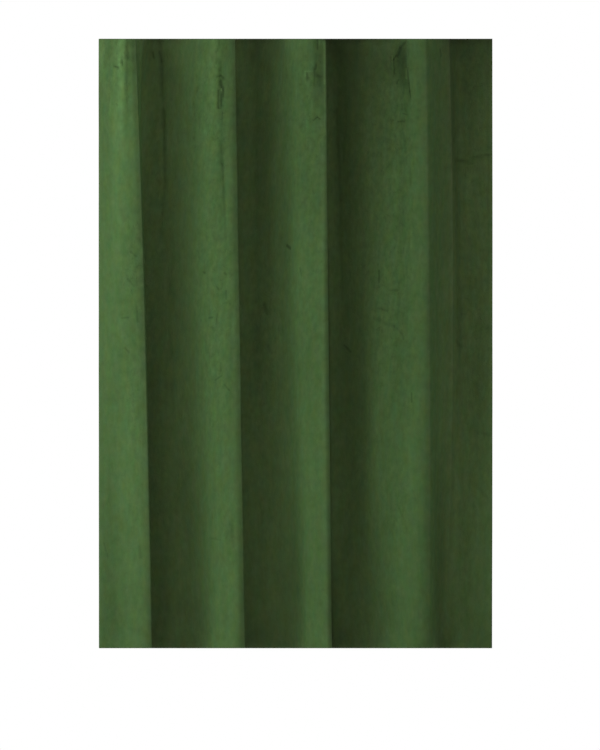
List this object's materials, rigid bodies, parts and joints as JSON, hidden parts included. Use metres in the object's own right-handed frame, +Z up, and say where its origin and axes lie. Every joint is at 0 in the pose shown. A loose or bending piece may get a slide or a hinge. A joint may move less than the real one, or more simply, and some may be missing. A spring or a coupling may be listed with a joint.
{
  "type": "velvet drape panel",
  "caption": "Short velvet drape panel hanging in deep uneven vertical folds, with turned hems, to dress a window, doorway or backdrop.",
  "frame": {"origin": "middle of the panel's top edge, on the mid-plane of the folds", "axes": "+Z up, +X to the right as the pile side is seen, -Y out of the pile side towards the room"},
  "size_m": [0.5919, 0.1213, 0.914],
  "materials": {
    "green_velvet": "short-pile cotton velvet, forest green, matte with a soft sheen across the nap"
  },
  "bodies": {
    "root": {"drape_panel": "green_velvet"}
  },
  "joints": []
}
